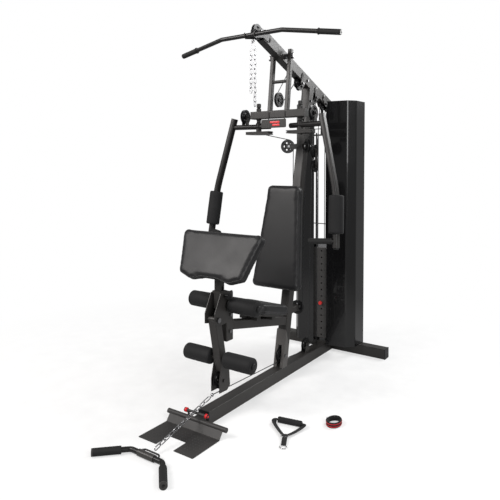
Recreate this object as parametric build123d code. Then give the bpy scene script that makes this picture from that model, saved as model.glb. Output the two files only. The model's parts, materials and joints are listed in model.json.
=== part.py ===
"""Multi station home gym: base and leaning upright, top boom, weight tower, press and butterfly arms,
leg developer, curl pad, cables and accessories. Millimetres, +Z up, the user faces -Y, +X is to the
right seen from the front. The origin is on the floor under the middle of the main base tube."""
from build123d import *
import os
from math import acos, asin, atan2, cos, degrees, hypot, pi, radians, sin

os.makedirs("parts", exist_ok=True)

# ---------------------------------------------------------------- driving dimensions
WALL = 2.5            # wall of the frame tubes
CORNER = 5            # outside corner radius of the frame tubes
SHEET = 2             # sheet steel of the shrouds
PLATE = 4             # flat steel of brackets
RUN_FIT = 0.05        # radial running clearance of a shaft in its bore
AIR = 0.5             # gap between faces that slide or swing past each other

BASE = 70             # base tubes, square
REAR_Y = 900          # centre of the rear stabiliser
BASE_FRONT_Y = -545
STABILISER_HALF = 427
CAP = 5               # flange of a plastic end cap

POST = 60             # main upright, mast and front post, square
LEAN = 0.1924         # lean of the upright: Y per Z
UPRIGHT_FOOT_Y = 208.2   # centre of the upright at the top of the base tube
BOOM_WIDE, BOOM_DEEP = 50, 70
BOOM_SLOPE = -0.386   # Z per Y
BOOM_Z0 = 2084        # centre of the boom at Y = 0
BOOM_TIP_Y, BOOM_END_Y = -16, 930

PULLEY_D, GROOVE_R, PULLEY_W, BOLT_D = 90, 38, 20, 10
CABLE_D = 5

SEAT_TUBE = 50
SEAT_TUBE_SLOPE, SEAT_TUBE_Z0 = -0.2, 399
SEAT_SLOPE, SEAT_TOP_Z0, SEAT_THICK = -0.24, 517.4, 54
BACK_LEAN, BACK_THICK = 0.177, 66
BACK_FOOT = (122, 583)          # Y, Z on the front face of the back pad
FRONT_POST_Y, FRONT_POST_TOP = -362, 650
SOCKET_Y, SOCKET_TOP = -416, 665
CURL_TRAVEL, KNOB_Z, KNOB_R = 40, 646, 20

STACK_Y, PLATE_COUNT, PLATE_PITCH, STACK_FOOT = 800, 14, 46, 105
RESTING = 5                     # plates left below the selector pin
PLATE_HALF_X, PLATE_FRONT, PLATE_REAR = 130, 757, 850
ROD_X, ROD_D, STEM_D = 60, 20, 22
TOWER_TOP = 1777

PRESS_PIVOT = (213.5, 2002)     # Y, Z of the press frame's pivot
PRESS_LEAN = 0.118
BEAM_Z, BEAM_HALF, BEAM_DEEP, BEAM_HIGH, BEAM_Y = 1646.5, 191, 50, 47, 180
FLY_X, FLY_Y, FLY_SHAFT_D = 150, 182, 20
ARM_TOP, ARM_KNEE, ARM_END = (313, 147, 1630), (428, 105, 1168), (446, 66, 872)
ARM_WIDE, ARM_DEEP = 30, 45
HANDLE_ROOT, HANDLE_END = (446, 68, 910), (316, -15, 910)

DEV_PIVOT = (-470, 525)         # Y, Z of the leg developer's pivot
ROLLER_D, ROLLER_IN, ROLLER_OUT = 86, 45, 222
UPPER_AXLE, LOWER_AXLE = (-375, 590), (-420, 305)

BAR_D, GRIP_D = 25, 34
LAT_BAR = (-125, 2071)          # Y, Z of the lat bar at rest
LOW_BAR_Y, LOW_BAR_Z = -957, 18
HOOK = (-489, 124)              # Y, Z of the low cable's snap hook


# ---------------------------------------------------------------- helpers
def save(name, *shapes):
    """Write one node: every solid of the given shapes, kept apart."""
    solids = [solid for shape in flat(shapes) for solid in shape.solids()]
    export_step(solids[0] if len(solids) == 1 else Compound(children=solids), f"parts/{name}.step")


def flat(items):
    for item in items:
        if isinstance(item, (list, tuple)):
            yield from flat(item)
        else:
            yield item


def block(x, y, z):
    """A box from its low and high limits along each axis."""
    size = [high - low for low, high in (x, y, z)]
    return Pos(*[(low + high) / 2 for low, high in (x, y, z)]) * Box(*size)


def along(start, end, side=(1, 0, 0)):
    """A plane at start that looks towards end, and the distance between them."""
    axis = Vector(*end) - Vector(*start)
    return Plane(origin=start, x_dir=side, z_dir=axis), axis.length


def box_tube(start, end, width, depth, wall=WALL, side=(1, 0, 0)):
    plane, length = along(start, end, side)
    inner = RectangleRounded(width - 2 * wall, depth - 2 * wall, CORNER - wall)
    return extrude(plane * (RectangleRounded(width, depth, CORNER) - inner), length)


def bar(start, end, width, depth, side=(1, 0, 0)):
    plane, length = along(start, end, side)
    return extrude(plane * Rectangle(width, depth), length)


def rod(start, end, diameter, bore=0):
    plane, length = along(start, end, (1, 0, 0) if start[0] == end[0] else (0, 0, 1))
    section = Circle(diameter / 2) - Circle(bore / 2) if bore else Circle(diameter / 2)
    return extrude(plane * section, length)


def both(*shapes):
    """The shapes and their mirror images on the left of the machine."""
    return [*flat(shapes), *[mirror(shape, about=Plane.YZ) for shape in flat(shapes)]]


def yz_plate(x, thick, outline, *holes):
    """A flat plate across X, from x to x + thick, with a YZ outline and round holes (y, z, diameter)."""
    plane = Plane(origin=(x, 0, 0), x_dir=(0, 1, 0), z_dir=(1, 0, 0))
    face = make_face(Polyline(*outline, close=True))
    for y, z, diameter in holes:
        face -= Pos(y, z) * Circle(diameter / 2)
    return extrude(plane * face, thick)


def yz_link(x, thick, first, second, width, *holes):
    """A plate with round ends from one YZ point to another."""
    plane = Plane(origin=(x, 0, 0), x_dir=(0, 1, 0), z_dir=(1, 0, 0))
    (y1, z1), (y2, z2) = first, second
    turn = degrees(atan2(z2 - z1, y2 - y1))
    face = Pos((y1 + y2) / 2, (z1 + z2) / 2) * Rot(0, 0, turn) * SlotCenterToCenter(hypot(y2 - y1, z2 - z1), width)
    for y, z, diameter in holes:
        face -= Pos(y, z) * Circle(diameter / 2)
    return extrude(plane * face, thick)


def wheel(centre, axis=(1, 0, 0)):
    """A cable pulley: grooved rim, web with five windows, hub and bore."""
    half, rim = PULLEY_W / 2, PULLEY_D / 2
    web, hub, bore = 4, 13, BOLT_D / 2 + RUN_FIT
    rim_in, floor = GROOVE_R - 6, GROOVE_R - CABLE_D / 2 - 1
    profile = make_face(Polyline(
        (bore, -half), (hub, -half), (hub, -web), (rim_in, -web), (rim_in, -half + 2), (rim, -half + 2),
        (floor, -CABLE_D / 2), (floor, CABLE_D / 2), (rim, half - 2), (rim_in, half - 2),
        (rim_in, web), (hub, web), (hub, half), (bore, half), close=True))
    solid = revolve(Plane.XZ * profile, Axis.Z)
    windows = PolarLocations((hub + rim_in) / 2, 5) * Cylinder(6.5, PULLEY_W)
    plane = Plane(origin=centre, z_dir=axis)
    return plane.location * (solid - windows)


def bolt(start, end, diameter=BOLT_D):
    """An axle bolt with a hexagon head and nut just outside start and end."""
    plane, length = along(start, end, (1, 0, 0) if start[0] == end[0] else (0, 0, 1))
    hexagon, head = RegularPolygon(diameter * 0.9, 6), diameter * 0.65
    shank = extrude(plane * Circle(diameter / 2), length)
    return (shank + extrude(plane * hexagon, -head)
            + extrude(plane.offset(length) * hexagon, head))


def axle(centre, half, axis=(1, 0, 0), gap_to=None):
    """The axle bolt of a pulley and the two spacers between its hub and its bracket plates."""
    c, a = Vector(*centre), Vector(*axis).normalized()
    inner = PULLEY_W / 2 + AIR
    pieces = [bolt(tuple(c - a * half), tuple(c + a * half))]
    if gap_to and gap_to > inner:
        for sign in (1, -1):
            pieces.append(rod(tuple(c + a * (sign * inner)), tuple(c + a * (sign * gap_to)), 18, BOLT_D))
    return pieces


def cable(points, radii, diameter=CABLE_D):
    """A tight cable: straight runs joined by arcs of the given radii, one for each inner point."""
    path = FilletPolyline(*points, radius=radii)
    section = Plane(origin=path @ 0, z_dir=path % 0) * Circle(diameter / 2)
    return sweep(section, path)


def link(wire, inner_length, width):
    """One chain link, its long axis along Z and its flat face along X, centred."""
    spine = SlotCenterToCenter(inner_length + wire - (width - wire), width - wire).wire()
    path = Plane.XZ.location * (Rot(0, 0, 90) * spine)
    return sweep(Plane(origin=path @ 0, z_dir=path % 0) * Circle(wire / 2), path)


def chain(start, end, wire=4.5, inner_length=27, width=19, twist=0):
    """Interlocked links from start to end, every second one turned a quarter."""
    plane, length = along(start, end)
    pitch = inner_length - 0.6
    count = max(1, round(length / pitch))
    one = link(wire, inner_length, width)
    return [plane.location * Pos(0, 0, pitch * (i + 0.5)) * Rot(0, 0, twist + 90 * (i % 2)) * one
            for i in range(count)]


def boom_z(y):
    return BOOM_Z0 + BOOM_SLOPE * y


def upright_y(z):
    return UPRIGHT_FOOT_Y + LEAN * (z - BASE)


BOOM_DROP = BOOM_DEEP / 2 / cos(atan2(-BOOM_SLOPE, 1))    # boom centre to its underside, straight down


# ---------------------------------------------------------------- static frame
def boom_blank():
    """Everything from the boom's underside upward, to trim what meets it from below."""
    y1, y2 = BOOM_TIP_Y - 100, BOOM_END_Y + 100
    low1, low2 = boom_z(y1) - BOOM_DROP, boom_z(y2) - BOOM_DROP
    return yz_plate(-100, 200, [(y1, low1), (y2, low2), (y2, low2 + 600), (y1, low1 + 600)])


def base():
    tube = box_tube((0, BASE_FRONT_Y, BASE / 2), (0, REAR_Y - BASE / 2, BASE / 2), BASE, BASE)
    save("main_base_tube", tube)
    stabiliser = box_tube((-STABILISER_HALF, REAR_Y, BASE / 2), (STABILISER_HALF, REAR_Y, BASE / 2),
                          BASE, BASE, side=(0, 1, 0))
    save("rear_stabiliser", stabiliser)


def end_caps():
    """Plastic caps on the open tube ends, and the two red caps on the foot rail's pegs."""
    plug, flange = BASE - 2 * WALL - 3, CAP
    x = STABILISER_HALF
    stabiliser = (bar((x, REAR_Y, BASE / 2), (x + flange, REAR_Y, BASE / 2), BASE, BASE, side=(0, 1, 0))
                  + bar((x - 15, REAR_Y, BASE / 2), (x, REAR_Y, BASE / 2), plug, plug, side=(0, 1, 0)))
    front = (block((-35, 35), (BASE_FRONT_Y - flange, BASE_FRONT_Y), (0, BASE))
             + block((-plug / 2, plug / 2), (BASE_FRONT_Y, BASE_FRONT_Y + 15), (BASE / 2 - plug / 2, BASE / 2 + plug / 2)))
    end = (0, BOOM_END_Y, boom_z(BOOM_END_Y))
    beyond = (0, BOOM_END_Y + flange, boom_z(BOOM_END_Y + flange))
    boom = bar(end, beyond, BOOM_WIDE, BOOM_DEEP)
    return both(stabiliser), front, boom


PEG_Y, PEG_Z, PEG_X, PEG_D, RAIL_Z, RAIL_HALF, RAIL_D = -605, 78, 60, 14, 42, 192, 25
PLATE_FRONT_Y, PLATE_BEND_Y, FOOT_HALF, NOTCH_HALF, NOTCH_Y, FOOT_THICK = -836, -640, 174, 57, -745, 4


def foot_plate():
    flat_part = block((-FOOT_HALF, FOOT_HALF), (PLATE_FRONT_Y, PLATE_BEND_Y), (0, FOOT_THICK))
    flat_part -= block((-NOTCH_HALF, NOTCH_HALF), (PLATE_FRONT_Y - 1, NOTCH_Y), (-1, FOOT_THICK + 1))
    ramp = yz_plate(-FOOT_HALF, 2 * FOOT_HALF, [
        (PLATE_BEND_Y, 0), (PEG_Y - 8, RAIL_Z - 8), (PEG_Y - 10, RAIL_Z - 3), (PLATE_BEND_Y, FOOT_THICK)])
    rail = rod((-RAIL_HALF, PEG_Y, RAIL_Z), (RAIL_HALF, PEG_Y, RAIL_Z), RAIL_D)
    neck = block((-25, 25), (PEG_Y, BASE_FRONT_Y - CAP), (34, 50)) - rail
    stems = both(rod((PEG_X - 8, PEG_Y, RAIL_Z), (PEG_X - 8, PEG_Y, PEG_Z), 12) - rail)
    peg = rod((-PEG_X, PEG_Y, PEG_Z), (PEG_X, PEG_Y, PEG_Z), PEG_D)
    save("foot_plate", flat_part + (ramp - rail), rail, neck, [stem - peg for stem in stems], peg)
    return both(rod((PEG_X, PEG_Y, PEG_Z), (PEG_X + 16, PEG_Y, PEG_Z), 22))


SLOT_PULLEY = (205, 142)        # Y, Z of the pulley in the upright's foot
FOOT_BRACKET_TOP = 300


def upright():
    low, high = 20, 1950
    tube = box_tube((0, upright_y(low), low), (0, upright_y(high), high), POST, POST)
    tube -= block((-50, 50), (0, 500), (0, BASE))
    tube -= boom_blank()
    slot = block((-13, 13), (SLOT_PULLEY[0] - 60, SLOT_PULLEY[0] + 60), (BASE, 205))
    y, z = SLOT_PULLEY
    tube -= [slot, rod((-40, y, z), (40, y, z), BOLT_D)]
    press_slot = block((-8, 8), (380, 485), (1535, 1640))
    save("main_upright", tube - press_slot)
    face = POST / 2 / cos(atan2(LEAN, 1))
    plate = yz_plate(-30, 60, [(upright_y(z0) - face - t, z0) for z0, t in (
        (BASE, 0), (FOOT_BRACKET_TOP, 0), (FOOT_BRACKET_TOP, PLATE), (BASE, PLATE))])
    side = yz_plate(30, PLATE, [(upright_y(z0) + t, z0) for z0, t in (
        (BASE, -face - PLATE), (BASE, 20), (190, 20), (FOOT_BRACKET_TOP, -face - PLATE))])
    side -= rod((20, y, z), (40, y, z), BOLT_D)
    return [plate - slot, both(side)]


LAT_PULLEY_YZ, FRONT_PULLEY_YZ = (-62, 2100), (430, 1865)
REAR_PULLEY_YZ, STACK_PULLEY_YZ = (624, 1795), (762, 1765)


def boom_and_mast():
    tube = box_tube((0, BOOM_TIP_Y, boom_z(BOOM_TIP_Y)), (0, BOOM_END_Y, boom_z(BOOM_END_Y)),
                    BOOM_WIDE, BOOM_DEEP)
    py, pz = PRESS_PIVOT
    cuts = [rod((-40, py, pz), (40, py, pz), FLY_SHAFT_D)]
    for y, z in (FRONT_PULLEY_YZ, REAR_PULLEY_YZ, STACK_PULLEY_YZ):
        cuts.append(block((-13, 13), (y - 52, y + 52), (z - 80, boom_z(y) + 12)))
        cuts.append(rod((-40, y, z), (40, y, z), 18))
    save("top_boom", tube - cuts)
    mast = box_tube((0, REAR_Y, BASE), (0, REAR_Y, 1850), POST, POST) - boom_blank()
    save("rear_mast", mast)


def seat_z(y):
    return SEAT_TUBE_Z0 + SEAT_TUBE_SLOPE * y


def seat_frame():
    post_rear = FRONT_POST_Y + POST / 2
    tube = box_tube((0, post_rear - 60, seat_z(post_rear - 60)), (0, 320, seat_z(320)), SEAT_TUBE, SEAT_TUBE)
    tube -= block((-40, 40), (-500, post_rear), (300, 600))
    upright_solid = bar((0, upright_y(20), 20), (0, upright_y(1000), 1000), POST, POST)
    tube -= [upright_solid, block((-40, 40), (upright_y(340), 500), (200, 500))]
    save("seat_tube", tube)
    post = box_tube((0, FRONT_POST_Y, 390), (0, FRONT_POST_Y, FRONT_POST_TOP), POST, POST)
    y, z = UPPER_AXLE
    post -= rod((-40, y, z), (40, y, z), 20)
    return post


BRACKET_IN, BRACKET_FRONT, SOCKET = 30, -498, 46


def front_bracket(post):
    """Two side plates that carry the leg developer's pivot, with the curl post socket between them."""
    post_front = FRONT_POST_Y - POST / 2
    outline = [(post_front + 47, 500), (post_front + 47, 660), (-447, 660), (BRACKET_FRONT, 560), (BRACKET_FRONT, 505),
               (-440, 492)]
    y, z = DEV_PIVOT
    sides = both(yz_plate(BRACKET_IN, PLATE, outline, (y, z, 16), (*UPPER_AXLE, 20), (SOCKET_Y, KNOB_Z, BOLT_D)))
    socket = box_tube((0, SOCKET_Y, 575), (0, SOCKET_Y, SOCKET_TOP), SOCKET, SOCKET)
    socket -= rod((0, SOCKET_Y, KNOB_Z), (60, SOCKET_Y, KNOB_Z), BOLT_D)
    rails = both(block((SOCKET / 2, BRACKET_IN), (SOCKET_Y - 12, SOCKET_Y + 12), (590, 625)))
    upper = rod((-ROLLER_OUT - 8, *UPPER_AXLE), (ROLLER_OUT + 8, *UPPER_AXLE), 20)
    collar = block((-27, 27), (SOCKET_Y - 27, SOCKET_Y + 26), (655, SOCKET_TOP + 3))
    collar -= block((-SOCKET / 2, SOCKET / 2), (SOCKET_Y - SOCKET / 2, SOCKET_Y + SOCKET / 2), (600, 700))
    save("front_bracket", post, sides, socket, rails, upper, collar)
    save("upper_foam_rollers", roller_pair(UPPER_AXLE))


def roller_pair(axle_yz):
    """Two foam rollers on an axle, with a recess for the end cap in each outer face."""
    sleeve = rod((ROLLER_IN, *axle_yz), (ROLLER_OUT, *axle_yz), ROLLER_D, 20)
    return both(fillet(sleeve.edges().filter_by(GeomType.CIRCLE).group_by(SortBy.RADIUS)[-1], 6))


# ---------------------------------------------------------------- pads
def seat_top(y):
    return SEAT_TOP_Z0 + SEAT_SLOPE * y


def seat_plane(y, drop):
    """The plane of the seat pad at y, drop below its top, with x across and y up the slope to the rear."""
    turn = atan2(SEAT_SLOPE, 1)
    return Plane(origin=(0, y + drop * sin(turn), seat_top(y) - drop * cos(turn)),
                 x_dir=(1, 0, 0), z_dir=(0, -sin(turn), cos(turn)))


SEAT_FRONT_Y, SEAT_REAR_Y, SEAT_HALF, BOARD = -222, 84, 158, 12


def seat():
    middle, length = (SEAT_FRONT_Y + SEAT_REAR_Y) / 2, (SEAT_REAR_Y - SEAT_FRONT_Y) / cos(atan2(SEAT_SLOPE, 1))
    outline = RectangleRounded(2 * SEAT_HALF, length, 48)
    pad = extrude(seat_plane(middle, SEAT_THICK) * outline, SEAT_THICK)
    pad = fillet(pad.edges().group_by(lambda e: round(seat_plane(middle, 0).to_local_coords(e.center()).Z))[-1], 16)
    save("seat_pad", pad)
    board = extrude(seat_plane(middle, SEAT_THICK + BOARD) * RectangleRounded(260, length - 40, 40), BOARD)
    reach = [(-150, -110), (10, 50)]
    brackets = []
    for y1, y2 in reach:
        wedge = yz_plate(-60, 120, [(y1, seat_z(y1) + 10), (y2, seat_z(y2) + 10),
                                    (y2, seat_top(y2)), (y1, seat_top(y1))])
        blank = extrude(seat_plane(middle, SEAT_THICK + BOARD) * Rectangle(600, 600), 200)
        tube = bar((0, -400, seat_z(-400)), (0, 300, seat_z(300)), SEAT_TUBE, SEAT_TUBE)
        under = Pos(0, 0, -200) * block((-70, 70), (y1 - 1, y2 + 1), (seat_z(y2), seat_z(y1) + SEAT_TUBE / 2 + 196))
        brackets.append(wedge - blank - tube - under)
    return [board, brackets]


BACK_LOW, BACK_HIGH = -13, 640          # pad ends, along its front face from the foot point
BACK_HALF_LOW, BACK_HALF_HIGH = 172, 116


def back_plane(offset):
    """The plane of the back pad's front face, moved rearward; x across, y up the pad."""
    turn = atan2(BACK_LEAN, 1)
    y, z = BACK_FOOT
    return Plane(origin=(0, y + offset * cos(turn), z - offset * sin(turn)), x_dir=(1, 0, 0),
                 z_dir=(0, -cos(turn), sin(turn)))


def back():
    outline = make_face(FilletPolyline(
        (-BACK_HALF_LOW, BACK_LOW), (BACK_HALF_LOW, BACK_LOW), (BACK_HALF_HIGH, BACK_HIGH),
        (-BACK_HALF_HIGH, BACK_HIGH), radius=34, close=True))
    pad = extrude(back_plane(BACK_THICK) * outline, BACK_THICK)
    save("back_pad", pad)
    board_face = offset(outline, amount=-20)
    board = extrude(back_plane(BACK_THICK + BOARD) * board_face, BOARD)
    arms = []
    upright_solid = bar((0, upright_y(100), 100), (0, upright_y(1700), 1700), POST, POST)
    blank = extrude(back_plane(BACK_THICK + BOARD) * Rectangle(900, 3000), 400)
    for z in (700, 1060):
        y = BACK_FOOT[0] + BACK_LEAN * (z - BACK_FOOT[1])
        tube = box_tube((0, y + 20, z), (0, upright_y(z), z), 40, 40)
        arms.append(tube - upright_solid - blank)
    return [board, arms]


CURL_TOP, CURL_FOOT = (-394, 982), (-509, 760)      # Y, Z of the curl pad's front face, top and foot
CURL_THICK, CURL_HALF_TOP, CURL_HALF_FOOT = 55, 273, 213


def curl_plane(offset):
    """The plane of the curl pad's face at its top edge, moved rearward; x across, y down the slope."""
    (y1, z1), (y2, z2) = CURL_TOP, CURL_FOOT
    down = Vector(0, y2 - y1, z2 - z1).normalized()
    normal = Vector(-1, 0, 0).cross(down)
    origin = Vector(0, y1, z1) - normal * offset
    return Plane(origin=origin, x_dir=(-1, 0, 0), z_dir=normal)


def curl():
    length = hypot(CURL_FOOT[0] - CURL_TOP[0], CURL_FOOT[1] - CURL_TOP[1])
    outline = make_face(FilletPolyline(
        (-CURL_HALF_TOP, 0), (CURL_HALF_TOP, 0), (CURL_HALF_FOOT, length), (129, length + 30),
        (45, length + 12), (-45, length + 12), (-129, length + 30), (-CURL_HALF_FOOT, length),
        radius=26, close=True))
    pad = extrude(curl_plane(CURL_THICK) * outline, CURL_THICK)
    save("curl_pad", pad)
    board = extrude(curl_plane(CURL_THICK + BOARD) * make_face(Polyline(
        (-200, 40), (200, 40), (165, length - 20), (-165, length - 20), close=True)), BOARD)
    post_size = SOCKET - 2 * WALL - 2 * AIR
    blank = extrude(curl_plane(CURL_THICK + BOARD) * Rectangle(900, 900), 300)
    post = box_tube((0, SOCKET_Y, 617), (0, SOCKET_Y, 900), post_size, post_size) - blank
    half = (BOLT_D + 1) / 2
    post -= block((10, 40), (SOCKET_Y - half, SOCKET_Y + half), (KNOB_Z - half, KNOB_Z + CURL_TRAVEL + half))
    save("curl_post", board, post)
    x = BRACKET_IN + PLATE
    pin = rod((post_size / 2 - 2, SOCKET_Y, KNOB_Z), (x + AIR, SOCKET_Y, KNOB_Z), BOLT_D - 0.6)
    stem = rod((x + AIR, SOCKET_Y, KNOB_Z), (x + 20, SOCKET_Y, KNOB_Z), 18)
    points = [(radius * cos(radians(a)), radius * sin(radians(a)))
              for a, radius in zip(range(0, 360, 36), (KNOB_R, KNOB_R * 0.72) * 5)]
    star = extrude(Plane(origin=(x + 20, SOCKET_Y, KNOB_Z), z_dir=(1, 0, 0)) *
                   make_face(FilletPolyline(*points, radius=3, close=True)), 16)
    save("curl_knob", pin + stem + star)


# ---------------------------------------------------------------- weight tower
def stack_holes(z, height):
    """The holes of one plate: two rods, the stem and the pin's channel from the front."""
    top, low, middle = z + height + 1, z - 1, z + height / 2
    holes = [rod((x, STACK_Y, low), (x, STACK_Y, top), ROD_D + 6) for x in (-ROD_X, ROD_X)]
    holes.append(rod((0, STACK_Y, low), (0, STACK_Y, top), STEM_D + 4))
    holes.append(rod((0, PLATE_FRONT - 1, middle), (0, STACK_Y, middle), 12))
    return holes


def weight_plate(z):
    height = PLATE_PITCH - 0.4
    plate = block((-PLATE_HALF_X, PLATE_HALF_X), (PLATE_FRONT, PLATE_REAR), (z, z + height))
    return fillet(plate.edges().filter_by(Axis.Z), 6) - stack_holes(z, height)


STACK_TOP = STACK_FOOT + PLATE_COUNT * PLATE_PITCH


def stack():
    levels = [STACK_FOOT + i * PLATE_PITCH for i in range(PLATE_COUNT)]
    save("resting_plates", [weight_plate(z) for z in levels[:RESTING]])
    save("lifted_plates", [weight_plate(z) for z in levels[RESTING:]])
    stem = rod((0, STACK_Y, STACK_FOOT + 6), (0, STACK_Y, STACK_TOP + 50), STEM_D)
    for z in levels:
        middle = z + (PLATE_PITCH - 0.4) / 2
        stem -= rod((0, STACK_Y - 20, middle), (0, STACK_Y + 20, middle), 10.4)
    stem -= rod((0, STACK_Y, STACK_TOP + 42), (0, STACK_Y, STACK_TOP + 51), CABLE_D + 1)
    height = 30
    top = block((-PLATE_HALF_X + 20, PLATE_HALF_X - 20), (PLATE_FRONT + 10, PLATE_REAR - 10),
                (STACK_TOP, STACK_TOP + height))
    top -= [rod((x, STACK_Y, 0), (x, STACK_Y, 2000), ROD_D + 12) for x in (-ROD_X, ROD_X)]
    bushes = [rod((x, STACK_Y, STACK_TOP - 0.1), (x, STACK_Y, STACK_TOP + height + 6), ROD_D + 12,
                  ROD_D + 2 * RUN_FIT) for x in (-ROD_X, ROD_X)]
    save("selector_stem", stem + top, [b - block((-200, 200), (0, 1000), (0, STACK_TOP)) for b in bushes])
    middle = STACK_FOOT + RESTING * PLATE_PITCH + (PLATE_PITCH - 0.4) / 2
    pin = rod((0, PLATE_FRONT - 10, middle), (0, STACK_Y + 12, middle), 10)
    head = rod((0, PLATE_FRONT - 24, middle), (0, PLATE_FRONT - 10, middle), 26)
    save("selector_pin", pin + fillet(head.edges().filter_by(GeomType.CIRCLE), 3))


GUIDE_TOP = 1545


def tower():
    rods = [rod((x, STACK_Y, BASE), (x, STACK_Y, GUIDE_TOP + 20), ROD_D) for x in (-ROD_X, ROD_X)]
    pan = block((-105, 105), (STACK_Y - 30, STACK_Y + 30), (BASE, BASE + 6))
    pan -= [rod((x, STACK_Y, 0), (x, STACK_Y, 200), ROD_D) for x in (-ROD_X, ROD_X)]
    save("guide_rods", rods)
    bumpers = [rod((x, STACK_Y, BASE + 6), (x, STACK_Y, STACK_FOOT - AIR), 44, ROD_D) for x in (-ROD_X, ROD_X)]
    save("stack_bumpers", [fillet(b.edges().filter_by(GeomType.CIRCLE).group_by(SortBy.RADIUS)[-1], 4) for b in bumpers])
    top = block((-90, 90), (STACK_Y - 28, STACK_Y + 28), (GUIDE_TOP, GUIDE_TOP + 8))
    top -= [rod((x, STACK_Y, 0), (x, STACK_Y, 2000), ROD_D) for x in (-ROD_X, ROD_X)]
    top -= rod((0, STACK_Y, 0), (0, STACK_Y, 2000), 24)
    ears = both(block((BOOM_WIDE / 2, BOOM_WIDE / 2 + 5), (STACK_Y - 8, STACK_Y + 24), (GUIDE_TOP + 8, boom_z(STACK_Y))))
    ties = []
    for z in (260, 900, 1600):
        ties += both(block((POST / 2, 241 - SHEET), (REAR_Y + 2, REAR_Y + 24), (z, z + SHEET * 2)))
    save("tower_brackets", pan, top, ears, ties)
    profile = FilletPolyline((50, 735), (190, 757), (235, 809), (243, 933), radius=22)
    shroud = extrude(Pos(0, 0, BASE) * trace(profile, SHEET), TOWER_TOP - BASE)
    shroud -= [tie for tie in ties if tie.center().X > 0]
    save("shroud_right", shroud)
    save("shroud_left", mirror(shroud, about=Plane.YZ))


# ---------------------------------------------------------------- press frame and butterfly arms
def press_y(z):
    return 172 + PRESS_LEAN * (z - 1650)


PRESS_PULLEY_YZ, RUNG_Z, PRESS_TOP = (181, 1735), 1848, 2042


def press():
    beam = box_tube((-BEAM_HALF, BEAM_Y, BEAM_Z), (BEAM_HALF, BEAM_Y, BEAM_Z), BEAM_DEEP, BEAM_HIGH, side=(0, 1, 0))
    shafts = [rod((x, FLY_Y, 1500), (x, FLY_Y, 1800), 30) for x in (-FLY_X, FLY_X)]
    beam -= shafts
    low, high = BEAM_Z - BEAM_HIGH / 2, BEAM_Z + BEAM_HIGH / 2
    bushes = [rod((x, FLY_Y, low), (x, FLY_Y, high), 30, FLY_SHAFT_D + 2 * RUN_FIT) for x in (-FLY_X, FLY_X)]
    leg = box_tube((61, press_y(1600), 1600), (61, press_y(PRESS_TOP), PRESS_TOP), 25, 30)
    leg -= block((0, 100), (0, 400), (1500, high))
    y, z = PRESS_PIVOT
    leg -= rod((0, y, z), (100, y, z), 26)
    pivot_bush = rod((61 - 12.5, y, z), (61 + 12.5, y, z), 26, FLY_SHAFT_D + 2 * RUN_FIT)
    leg -= rod((0, *PRESS_PULLEY_YZ), (100, *PRESS_PULLEY_YZ), BOLT_D)
    rung = rod((-48.5, press_y(RUNG_Z), RUNG_Z), (48.5, press_y(RUNG_Z), RUNG_Z), 20)
    beam_cap = bar((BEAM_HALF, BEAM_Y, BEAM_Z), (BEAM_HALF + CAP, BEAM_Y, BEAM_Z), BEAM_DEEP, BEAM_HIGH, side=(0, 1, 0))
    save("press_frame", beam, bushes, both(leg), both(pivot_bush), rung, both(beam_cap))
    cover = block((-88, 88), (116, 120), (1560, 1612))
    cover = fillet(cover.edges().filter_by(Axis.Y), 8)
    arms = both(block((56, 60), (120, BEAM_Y - BEAM_DEEP / 2), (1590, 1612))
                + block((56, 60), (BEAM_Y - BEAM_DEEP / 2 - 6, BEAM_Y - BEAM_DEEP / 2), (1590, 1660)))
    save("press_cover", cover, arms)


ARM_PULLEY = (245, 170, 1642)
TUBE_Z, TUBE_D, CAM_R, CAM_Z = 1575, 32, 90, 1536


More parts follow.
